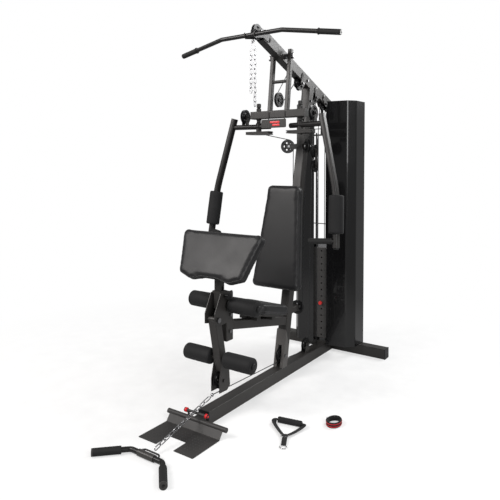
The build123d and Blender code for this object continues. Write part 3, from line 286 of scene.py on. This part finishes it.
def tube_along(bm, points, radius, closed=True, steps=8):
    """A tube round a line of points, its ring turned as little as possible from point to point."""
    count = len(points)
    points = [Vector(p) for p in points]
    rings, side = [], None
    for i, point in enumerate(points):
        before = points[i - 1] if closed or i else point
        after = points[(i + 1) % count] if closed or i + 1 < count else point
        axis = (after - before).normalized()
        side = side or axis.orthogonal()
        side = (side - axis * side.dot(axis)).normalized()
        up = axis.cross(side)
        rings.append([bm.verts.new(point + radius * (side * math.cos(a) + up * math.sin(a)))
                      for a in (2 * math.pi * k / steps for k in range(steps))])
    pairs = list(zip(rings, rings[1:]))
    for low, high in pairs:
        for k in range(steps):
            bm.faces.new((low[k], low[(k + 1) % steps], high[(k + 1) % steps], high[k]))
    if closed:
        offset = min(range(steps), key=lambda s: (rings[-1][0].co - rings[0][s].co).length)
        low, high = rings[-1], rings[0]
        for k in range(steps):
            after, here = (k + 1 + offset) % steps, (k + offset) % steps
            bm.faces.new((low[k], low[(k + 1) % steps], high[after], high[here]))
    else:
        bm.faces.new(rings[0][::-1])
        bm.faces.new(rings[-1])


def everything(bm):
    return bm.verts[:] + bm.edges[:] + bm.faces[:]


def cut_loop(obj, point, normal, spacing=0.006):
    """The closed line where a plane cuts a mesh, as evenly spaced points."""
    bm = bmesh.new()
    bm.from_mesh(obj.data)
    cut = bmesh.ops.bisect_plane(bm, geom=everything(bm), plane_co=point, plane_no=normal)
    edges = {e for e in cut["geom_cut"] if isinstance(e, bmesh.types.BMEdge)}
    joined = {}
    for edge in edges:
        for a, b in (edge.verts, reversed(edge.verts)):
            joined.setdefault(a, []).append(b)
    start = next(iter(joined))
    loop, seen, here = [start.co.copy()], {start}, start
    while True:
        onward = [v for v in joined[here] if v not in seen]
        if not onward:
            break
        here = onward[0]
        seen.add(here)
        loop.append(here.co.copy())
    bm.free()
    even, carried = [loop[0]], 0.0
    for a, b in zip(loop, loop[1:] + loop[:1]):
        carried += (b - a).length
        if carried >= spacing:
            even.append(b)
            carried = 0.0
    return even


# ---------------------------------------------------------------- pads
VOXEL, PAD_SHRINK, PAD_STEPS, PAD_SMOOTHING = 0.007, 0.003, 16, 6
WELT_DEPTH, BETWEEN_WELTS = 0.012, 0.03


def blown(node, name, cap, pressure):
    """The CAD pad's solid, a little smaller, filled out by a cloth simulation and kept within cap."""
    mesh = NODES[node].data.copy()
    pad = bpy.data.objects.new(name, mesh)
    bpy.context.collection.objects.link(pad)
    bpy.context.view_layer.objects.active = pad
    remesh = pad.modifiers.new("remesh", "REMESH")
    remesh.mode, remesh.voxel_size = "VOXEL", VOXEL
    bpy.ops.object.modifier_apply(modifier=remesh.name)
    mesh = pad.data
    normals = [v.normal.copy() for v in mesh.vertices]
    for vertex, normal in zip(mesh.vertices, normals):
        vertex.co -= normal * PAD_SHRINK
    rest = [v.co.copy() for v in mesh.vertices]
    cloth = pad.modifiers.new("cloth", "CLOTH")
    cloth.settings.use_pressure = True
    cloth.settings.uniform_pressure_force = pressure
    cloth.settings.effector_weights.gravity = 0.0
    cloth.settings.quality = 4
    scene = bpy.context.scene
    for step in range(1, PAD_STEPS + 1):
        scene.frame_set(step)
    bpy.ops.object.modifier_apply(modifier=cloth.name)
    for vertex, origin in zip(pad.data.vertices, rest):
        move = vertex.co - origin
        if move.length > cap:
            vertex.co = origin + move.normalized() * cap
    scene.frame_set(1)
    smooth = pad.modifiers.new("smooth", "SMOOTH")
    smooth.factor, smooth.iterations = 0.5, PAD_SMOOTHING
    bpy.ops.object.modifier_apply(modifier=smooth.name)
    for face in pad.data.polygons:
        face.use_smooth = True
    pad.data.materials.clear()
    pad.data.materials.append(FINISHES["vinyl"])
    return pad


def welt(pad, name, body, point, normal, radius=0.0035):
    """The piped seam where the pad's face panel meets its side band."""
    bm = bmesh.new()
    tube_along(bm, cut_loop(pad, point, normal), radius)
    return piece_from(name, bm, body, "vinyl")


def add_pad(node, body, normal, cap=0.007, pressure=4.0):
    """A vinyl pad whose face has the given outward normal, with a piped seam round its front and back."""
    pad = blown(node, node + "_cover", cap, pressure)
    normal = Vector(normal).normalized()
    top = max((v.co.dot(normal), v.index) for v in pad.data.vertices)[0]
    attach(pad, body)
    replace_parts(pad, node)
    welt(pad, node + "_welt", body, normal * (top - WELT_DEPTH), normal)
    welt(pad, node + "_back_welt", body, normal * (top - WELT_DEPTH - BETWEEN_WELTS), normal,
         radius=0.0025)
    return pad


SEAT_NORMAL, BACK_NORMAL, CURL_NORMAL = (0, 0.2334, 0.9724), (0, -0.9847, 0.1743), (0, -0.888, 0.460)


def add_pads():
    add_pad("seat_pad", "root", SEAT_NORMAL)
    add_pad("back_pad", "root", BACK_NORMAL)
    add_pad("curl_pad", "curl", CURL_NORMAL)


# ---------------------------------------------------------------- foam rollers and grips
def foam_profile(length, radius, seed):
    """A foam sleeve's outline: rounded ends, a slight belly and small dents."""
    random.seed(seed)
    ends = 0.010
    rows = [(0.0, radius * 0.30), (0.0, radius * 0.80), (0.0015, radius * 0.90), (0.005, radius * 0.965)]
    steps = 22
    for i in range(steps + 1):
        t = i / steps
        belly = 1.0 - 0.012 * abs(2 * t - 1) ** 2 + random.uniform(-0.003, 0.003)
        rows.append((ends + t * (length - 2 * ends), radius * belly))
    return rows + [(length - along, r) for along, r in reversed(rows[:4])]


def foam_roller(bm, start, end, radius, seed):
    start, end = Vector(start), Vector(end)
    lathe(bm, start, end - start, foam_profile((end - start).length, radius, seed))


def end_plug(bm, at, axis, radius):
    """The moulded cap that closes a roller tube."""
    lathe(bm, at, axis, [(-0.004, radius * 0.9), (0.0, radius), (0.005, radius), (0.0085, radius * 0.82),
                         (0.0095, radius * 0.4)], steps=32)


ROLLER_R, ROLLER_IN, ROLLER_OUT = 0.043, 0.045, 0.222


def add_rollers():
    for node, body, y, z, seed in (("upper_foam_rollers", "root", -0.375, 0.590, 3),
                                   ("leg_foam_rollers", "developer", -0.420, 0.305, 5)):
        foam, caps = bmesh.new(), bmesh.new()
        for sign in (1, -1):
            foam_roller(foam, (sign * ROLLER_IN, y, z), (sign * ROLLER_OUT, y, z), ROLLER_R, seed + sign)
            end_plug(caps, (sign * (ROLLER_OUT + 0.001), y, z), (sign, 0, 0), 0.017)
        sleeve = piece_from(node + "_sleeves", foam, body, "foam")
        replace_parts(sleeve, node)
        piece_from(node + "_plugs", caps, body, "end_cap_plastic")


ARM_KNEE, ARM_END = Vector((0.428, 0.105, 1.168)), Vector((0.446, 0.066, 0.872))
HANDLE_ROOT, HANDLE_END = Vector((0.446, 0.068, 0.910)), Vector((0.316, -0.015, 0.910))


def mirrored(point, sign):
    return Vector((point[0] * sign, point[1], point[2]))


def grip_profile(length, radius, flange=1.18):
    """A rubber grip: a flange, then fine ribs, then a domed end."""
    rows = [(0.0, radius * 0.8), (0.001, radius * flange), (0.005, radius * flange), (0.006, radius)]
    ribs = int((length - 0.02) / 0.006)
    for i in range(ribs):
        at = 0.008 + i * (length - 0.02) / ribs
        rows += [(at, radius * 0.985), (at + 0.0015, radius), (at + 0.0035, radius)]
    return rows + [(length - 0.006, radius * 0.98), (length - 0.002, radius * 0.86), (length, radius * 0.4)]


def add_arm_grips():
    for side, sign in (("left", -1), ("right", 1)):
        body = "fly_" + side
        down = (ARM_END - ARM_KNEE).normalized()
        foam = bmesh.new()
        foam_roller(foam, mirrored(ARM_KNEE + down * 0.005, sign), mirrored(ARM_KNEE + down * 0.220, sign),
                    ROLLER_R, 11 + sign)
        sleeve = piece_from("arm_foam_" + side, foam, body, "foam")
        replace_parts(sleeve, "arm_grips_" + side)
        along = (HANDLE_END - HANDLE_ROOT).normalized()
        start = HANDLE_ROOT + along * 0.026
        length = (HANDLE_END - start).length + 0.004
        grip = bmesh.new()
        lathe(grip, mirrored(start, sign), mirrored(along, sign), grip_profile(length, 0.0165))
        piece_from("handle_grip_" + side, grip, body, "rubber")
        plug = bmesh.new()
        end_plug(plug, mirrored(ARM_END, sign), mirrored(down, sign), 0.0150)
        piece_from("arm_plug_" + side, plug, body, "end_cap_plastic")


# ---------------------------------------------------------------- cables that move with the machine
def part_of(node, name, wanted, slot="cable_jacket", material=None, sharp=60, cut=None):
    """A piece made of those faces of a CAD node whose middle satisfies wanted, once the mesh has
    been cut by the plane through cut across Y."""
    bm = bmesh.new()
    bm.from_mesh(NODES[node].data)
    bmesh.ops.remove_doubles(bm, verts=bm.verts[:], dist=2e-6)
    if cut:
        bmesh.ops.bisect_plane(bm, geom=everything(bm), plane_co=cut, plane_no=(0, 1, 0))
    unwanted = [face for face in bm.faces if not wanted(face.calc_center_median())]
    bmesh.ops.delete(bm, geom=unwanted, context="FACES")
    mesh = bpy.data.meshes.new(name)
    bm.to_mesh(mesh)
    bm.free()
    obj = bpy.data.objects.new(name, mesh)
    bpy.context.collection.objects.link(obj)
    for face in mesh.polygons:
        face.use_smooth = True
    mesh.set_sharp_from_angle(angle=math.radians(sharp))
    mesh.materials.clear()
    mesh.materials.append(material or FINISHES[slot])
    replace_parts(obj, node)
    return obj


# Where the cables leave their wheels: the floating block, the boom tip, the top pulley, the leg pulley.
BLOCK_Y, BLOCK_HIGH, BLOCK_LOW, BLOCK_HALF = 0.645, 1.430, 1.330, 0.042
LAT_END_Y, LAT_STUB_TOP, LAT_STUB_FOOT = -0.1, 2.095, 2.051
LIFT_Y, LIFT_TOP, LIFT_FOOT = 0.800, 1.760, 0.80
TOP_WHEELS_Z, BASE_WHEELS_Z = 1.77, 0.122
LEG_BEND, LOW_END = (0, -0.41, 0.125), (0, -0.466, 0.126)
PRESS_WHEEL_Y, PRESS_END_Y, PRESS_LOW_Z = 0.185, 0.395, 1.70
NEAR = 0.004
HALF_CABLE = 0.01


def add_high_cable():
    """From the lat hook through the boom to the plates, with a loop down to the floating block."""
    def lat_stub(c):
        return c.y < LAT_END_Y + 0.0015 and c.z < LAT_STUB_TOP

    def lift(c):
        return c.y > LIFT_Y - NEAR and c.z < LIFT_TOP

    def under_block(c):
        return c.z < BLOCK_HIGH + NEAR and abs(c.y - BLOCK_Y) < BLOCK_HALF

    def strands(c):
        return 0.58 < c.y < 0.735 and BLOCK_HIGH + NEAR < c.z < TOP_WHEELS_Z and not lift(c)

    def elsewhere(c):
        return not (lat_stub(c) or lift(c) or under_block(c) or strands(c))

    stub = part_of("high_cable", "lat_cable_end", lat_stub)
    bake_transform(stub)
    rising = part_of("high_cable", "lift_cable", lift)
    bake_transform(rising)
    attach(part_of("high_cable", "block_cable_bend", under_block), "block")
    upper = part_of("high_cable", "block_cable_strands", strands)
    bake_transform(upper)
    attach(part_of("high_cable", "boom_cable", elsewhere), "root")


def add_low_cable():
    """From the base over the floating block and back down, then forward to the low row bar."""
    def over_block(c):
        return c.z > BLOCK_LOW - NEAR and abs(c.y - BLOCK_Y) < BLOCK_HALF

    def strands(c):
        below = c.z < BLOCK_LOW - NEAR
        return below and (0.560 < c.y < 0.700 and c.z > BASE_WHEELS_Z or c.y > 0.66)

    def pull_strand(c):
        return c.y < LEG_BEND[1]

    def elsewhere(c):
        return not (over_block(c) or strands(c) or pull_strand(c))

    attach(part_of("low_cable", "low_cable_bend", over_block), "block")
    lower = part_of("low_cable", "low_cable_strands", strands)
    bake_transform(lower)
    pull = part_of("low_cable", "low_pull_cable", pull_strand, cut=LEG_BEND)
    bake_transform(pull)
    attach(part_of("low_cable", "base_cable", elsewhere, cut=LEG_BEND), "root")


def add_arm_cables():
    """The press pulley's cable, which swings with the press frame, and the butterfly cable."""
    def press_side(c):
        return c.y < PRESS_WHEEL_Y and c.z > 1.68 and abs(c.x) < HALF_CABLE

    def press_strands(c):
        return abs(c.x) < HALF_CABLE and c.z > PRESS_LOW_Z and PRESS_WHEEL_Y < c.y < PRESS_END_Y

    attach(part_of("arm_cables", "press_cable_bend", press_side), "press")
    slack = part_of("arm_cables", "press_cable_strands", press_strands)
    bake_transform(slack)
    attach(part_of("arm_cables", "fly_cable", lambda c: not (press_side(c) or press_strands(c))), "root")


FOOT_BRACKET_Y, FOOT_BRACKET_Z = 0.262, (0.062, 0.310)


def add_grey_bracket():
    """The foot of the upright is paler than the other brackets."""
    def at_foot(c):
        return c.y < FOOT_BRACKET_Y and FOOT_BRACKET_Z[0] < c.z < FOOT_BRACKET_Z[1]

    for name, wanted, material in (("foot_bracket", at_foot, GREY_PAINT),
                                   ("other_brackets", lambda c: not at_foot(c), None)):
        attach(part_of("pulley_brackets", name, wanted, "frame_paint", material, sharp=30), "root")


# ---------------------------------------------------------------- small visible details
PLATE_TOP, PLATE_HALF, PLATE_BEND_Y = 0.004, 0.174, -0.645
NOTCH_HALF, NOTCH_Y, TREAD_MARGIN, TREAD_PITCH = 0.062, -0.740, 0.012, 0.020
TREAD_LONG, TREAD_WIDE, TREAD_TALL, TREAD_CREST = 0.0075, 0.0022, 0.0011, 0.45


def tread_stud(bm, centre, turn):
    """A low ridge with six corners round its foot and two at its crest."""
    across = Vector((math.cos(turn), math.sin(turn), 0))
    side = Vector((-across.y, across.x, 0))
    rim = [bm.verts.new(centre + across * TREAD_LONG * a + side * TREAD_WIDE * b)
           for a, b in ((1, 0), (0.5, 1), (-0.5, 1), (-1, 0), (-0.5, -1), (0.5, -1))]
    crest = [bm.verts.new(centre + across * TREAD_LONG * a + Vector((0, 0, TREAD_TALL)))
             for a in (TREAD_CREST, -TREAD_CREST)]
    bm.faces.new(rim[::-1])
    for a, b, top in ((0, 1, 0), (5, 0, 0), (2, 3, 1), (3, 4, 1)):
        bm.faces.new((rim[a], rim[b], crest[top]))
    bm.faces.new((rim[1], rim[2], crest[1], crest[0]))
    bm.faces.new((rim[4], rim[5], crest[0], crest[1]))


def add_tread():
    """Raised lozenges on the foot plate, in alternating directions."""
    bm = bmesh.new()
    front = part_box("foot_plate")[0][1] + TREAD_MARGIN
    rows = int((PLATE_BEND_Y - front) / TREAD_PITCH)
    columns = int(2 * (PLATE_HALF - TREAD_MARGIN) / TREAD_PITCH)
    for row in range(rows):
        for column in range(columns):
            x = -PLATE_HALF + TREAD_MARGIN + (column + 0.5) * TREAD_PITCH
            y = front + (row + 0.5) * TREAD_PITCH
            if abs(x) < NOTCH_HALF and y < NOTCH_Y:
                continue
            turn = math.radians(45 if (row + column) % 2 else -45)
            tread_stud(bm, Vector((x, y, PLATE_TOP)), turn)
    piece_from("foot_plate_tread", bm, "root", "tread_paint", smooth=False)


def lozenge(bm, centre, across, up, half_wide, half_high, thick, corner=0.35, steps=6):
    """A flat plaque with rounded corners, standing thick proud of centre."""
    centre, across, up = Vector(centre), Vector(across), Vector(up)
    normal = across.cross(up).normalized()
    radius = half_high * corner
    outline = []
    for sx, sy, first in ((1, 1, 0), (-1, 1, 90), (-1, -1, 180), (1, -1, 270)):
        for k in range(steps + 1):
            a = math.radians(first + 90 * k / steps)
            outline.append((sx * (half_wide - radius) + radius * math.cos(a),
                            sy * (half_high - radius) + radius * math.sin(a)))
    rings = []
    for lift, scale in ((0, 1.0), (thick * 0.6, 1.0), (thick, 0.94)):
        rings.append([bm.verts.new(centre + across * x * scale + up * y * scale + normal * lift)
                      for x, y in outline])
    count = len(outline)
    for low, high in zip(rings, rings[1:]):
        for i in range(count):
            bm.faces.new((low[i], low[(i + 1) % count], high[(i + 1) % count], high[i]))
    bm.faces.new(rings[0][::-1])
    bm.faces.new(rings[-1])


BADGE_HALF_HIGH, BADGE_THICK, COVER_TOP = 0.006, 0.0008, 1.612


def add_badges():
    """Two plain red bars on the cover plate."""
    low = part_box("press_cover")[0]
    front, middle = low[1], (low[2] + COVER_TOP) / 2
    badge = bmesh.new()
    for x, half_wide, z in ((0.010, 0.034, 0.008), (0.018, 0.026, -0.009)):
        lozenge(badge, (x, front, middle + z), (1, 0, 0), (0, 0, 1), half_wide, BADGE_HALF_HIGH, BADGE_THICK)
    piece_from("cover_badge", badge, "press", "cover", material=RED)


PEG_END_X, PEG_Y, PEG_Z = 0.0595, -0.605, 0.078


def add_peg_caps():
    """Red caps on the foot rail's pegs."""
    caps = bmesh.new()
    for sign in (1, -1):
        lathe(caps, (sign * PEG_END_X, PEG_Y, PEG_Z), (sign, 0, 0),
              [(0, 0.0085), (0.0005, 0.0115), (0.012, 0.0115), (0.0155, 0.0095), (0.017, 0.004)], steps=32)
    piece_from("peg_caps", caps, "root", "end_cap_plastic", material=RED)


SLAB_SECTION = ((1, 0.6), (0.92, 1), (-0.92, 1), (-1, 0.6), (-1, -0.6), (-0.92, -1), (0.92, -1), (1, -0.6))


def slab(bm, points, wide, thick, up=(0, 0, 1)):
    """A strap: a flat band along a line of points, wide across and thick along up."""
    points = [Vector(p) for p in points]
    rings = []
    for i, point in enumerate(points):
        axis = (points[min(i + 1, len(points) - 1)] - points[max(i - 1, 0)]).normalized()
        lift = Vector(up) - axis * Vector(up).dot(axis)
        lift.normalize()
        across = axis.cross(lift)
        rings.append([bm.verts.new(point + across * wide / 2 * a + lift * thick / 2 * b)
                      for a, b in SLAB_SECTION])
    for low, high in zip(rings, rings[1:]):
        for i in range(8):
            bm.faces.new((low[i], low[(i + 1) % 8], high[(i + 1) % 8], high[i]))
    bm.faces.new(rings[0][::-1])
    bm.faces.new(rings[-1])


def turn_of(steps):
    """Angles evenly round a circle."""
    return [2 * math.pi * k / steps for k in range(steps)]


def arc_points(points, steps=6):
    """A smooth line through given points (Catmull-Rom)."""
    points = [Vector(p) for p in points]
    padded = [2 * points[0] - points[1]] + points + [2 * points[-1] - points[-2]]
    line = []
    for a, b, c, d in zip(padded, padded[1:], padded[2:], padded[3:]):
        for k in range(steps):
            t = k / steps
            line.append(0.5 * (2 * b + (c - a) * t + (2 * a - 5 * b + 4 * c - d) * t ** 2
                               + (3 * b - a - 3 * c + d) * t ** 3))
    return line + [points[-1]]


HANDLE_START, HANDLE_STOP, HANDLE_R = Vector((0.307, -0.316, 0.016)), Vector((0.434, -0.292, 0.016)), 0.0155
WEB_WIDE, WEB_THICK = 0.025, 0.0028


def add_handle_grip(along, length):
    grip = bmesh.new()
    ends = [(0, 0.008), (0.0005, 0.013), (0.003, HANDLE_R)]
    ribs = [(0.004 + (length - 0.008) * k / 16, 0.0150 + 0.0008 * (k % 2)) for k in range(17)]
    lathe(grip, HANDLE_START, along, ends + ribs + [(length - at, radius) for at, radius in reversed(ends)])
    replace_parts(piece_from("strap_handle_grip", grip, "strap_handle", "foam"), "strap_handle")


def add_strap_handle():
    """Hand grip, a loop of webbing out of its ends, a buckle where the legs meet, and a ring."""
    along = (HANDLE_STOP - HANDLE_START).normalized()
    add_handle_grip(along, (HANDLE_STOP - HANDLE_START).length)
    band = bmesh.new()
    near_leg = [HANDLE_START + along * 0.01, (0.297, -0.321, 0.015), (0.299, -0.344, 0.011),
                (0.352, -0.388, 0.007), (0.419, -0.438, 0.008)]
    far_leg = [HANDLE_STOP - along * 0.01, (0.444, -0.292, 0.015), (0.446, -0.315, 0.011),
               (0.434, -0.380, 0.0075), (0.421, -0.436, 0.0112)]
    tail = [(0.414, -0.424, 0.0142), (0.428, -0.452, 0.0105),
            (0.446, -0.488, 0.0075), (0.455, -0.507, 0.0060)]
    for route, up in ((near_leg, (0.35, 0.25, 1)), (far_leg, (-0.2, 0.1, 1)), (tail, (0, 0, 1))):
        slab(band, arc_points(route), WEB_WIDE, WEB_THICK, up=up)
    piece_from("strap_handle_webbing", band, "strap_handle", "webbing")
    metal = bmesh.new()
    tube_along(metal, [(0.4605 + 0.016 * math.cos(a), -0.5185 + 0.016 * math.sin(a), 0.0045)
                       for a in turn_of(32)], 0.0022)
    corners = ((1, 1), (1, 0), (1, -1), (0, -1), (-1, -1), (-1, 0), (-1, 1), (0, 1))
    wide, deep = Vector((0.86, 0.5, 0)) * 0.017, Vector((0.5, -0.86, 0)) * 0.009
    buckle = [Vector((0.420, -0.440, 0.0135)) + wide * sx + deep * sy for sx, sy in corners]
    tube_along(metal, buckle, 0.0016)
    piece_from("strap_handle_ring", metal, "strap_handle", "bright_steel")


CUFF_CENTRE, CUFF_HALF, CUFF_HIGH = Vector((0.555, -0.172, 0.0)), (0.0335, 0.0455), 0.029
CUFF_RING_X, CUFF_RING_Z, CUFF_RING_R = 0.0062, 0.0150, 0.012


def cuff_ring(bm, inner, outer, z0, z1, edge):
    """An oval band between two offsets from the cuff's middle line, with bevelled edges."""
    section = [(inner, z0 + edge), (inner + edge, z0), (outer - edge, z0), (outer, z0 + edge),
               (outer, z1 - edge), (outer - edge, z1), (inner + edge, z1), (inner, z1 - edge)]
    rings = []
    for offset, z in section:
        half_x, half_y = CUFF_HALF[0] + offset, CUFF_HALF[1] + offset
        rings.append([bm.verts.new(CUFF_CENTRE + Vector((half_x * math.cos(a), half_y * math.sin(a), z)))
                      for a in turn_of(64)])
    for low, high in zip(rings, rings[1:] + rings[:1]):
        for i in range(len(low)):
            j = (i + 1) % len(low)
            bm.faces.new((low[j], low[i], high[i], high[j]))


def add_ankle_strap():
    """A padded cuff lying on its edge, with two red bands round it and a ring."""
    cuff = bmesh.new()
    cuff_ring(cuff, -0.004, 0.004, 0.0005, CUFF_HIGH, edge=0.003)
    body = piece_from("ankle_strap_cuff", cuff, "ankle_strap", "webbing")
    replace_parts(body, "ankle_strap")
    bands = bmesh.new()
    for z0 in (0.0055, 0.0185):
        cuff_ring(bands, 0.0025, 0.0050, z0, z0 + 0.0045, edge=0.0008)
    piece_from("ankle_strap_bands", bands, "ankle_strap", "webbing", material=RED_BAND)
    ring = bmesh.new()
    x = CUFF_CENTRE.x - CUFF_HALF[0] - CUFF_RING_X
    tube_along(ring, [(x, CUFF_CENTRE.y + CUFF_RING_R * math.cos(a), CUFF_RING_Z + CUFF_RING_R * math.sin(a))
                      for a in turn_of(32)], 0.0018)
    piece_from("ankle_strap_ring", ring, "ankle_strap", "bright_steel")


LOW_BENDS, LOW_BAR_Y, LOW_BAR_Z, LOW_REACH = (-0.095, 0.105), -0.957, 0.018, 0.175 * math.sqrt(0.5)
LAT_BEND, LAT_END = (0.207, -0.125, 2.071), (0.539, -0.087, 2.019)


def add_bar_grips():
    """Rubber grips on the ends of the low bar and the lat bar."""
    grips = bmesh.new()
    for sign, bend in zip((-1, 1), LOW_BENDS):
        end = Vector((bend + sign * LOW_REACH, LOW_BAR_Y - LOW_REACH, LOW_BAR_Z))
        out = Vector((sign, -1, 0)).normalized()
        lathe(grips, end - out * 0.130, out, grip_profile(0.134, 0.0183, flange=1.0))
    piece_from("low_bar_grips", grips, "low_row", "rubber")
    lat = bmesh.new()
    for sign in (1, -1):
        bend, end = mirrored(LAT_BEND, sign), mirrored(LAT_END, sign)
        out = (end - bend).normalized()
        lathe(lat, end - out * 0.125, out, grip_profile(0.129, 0.0155))
    piece_from("lat_bar_grips", lat, "lat_bar", "rubber")


# ---------------------------------------------------------------- everything together
dress_frame()
add_studio()
add_camera()
add_pads()
add_rollers()
add_arm_grips()
add_high_cable()
add_low_cable()
add_arm_cables()
add_grey_bracket()
add_tread()
add_badges()
add_peg_caps()
add_strap_handle()
add_ankle_strap()
add_bar_grips()
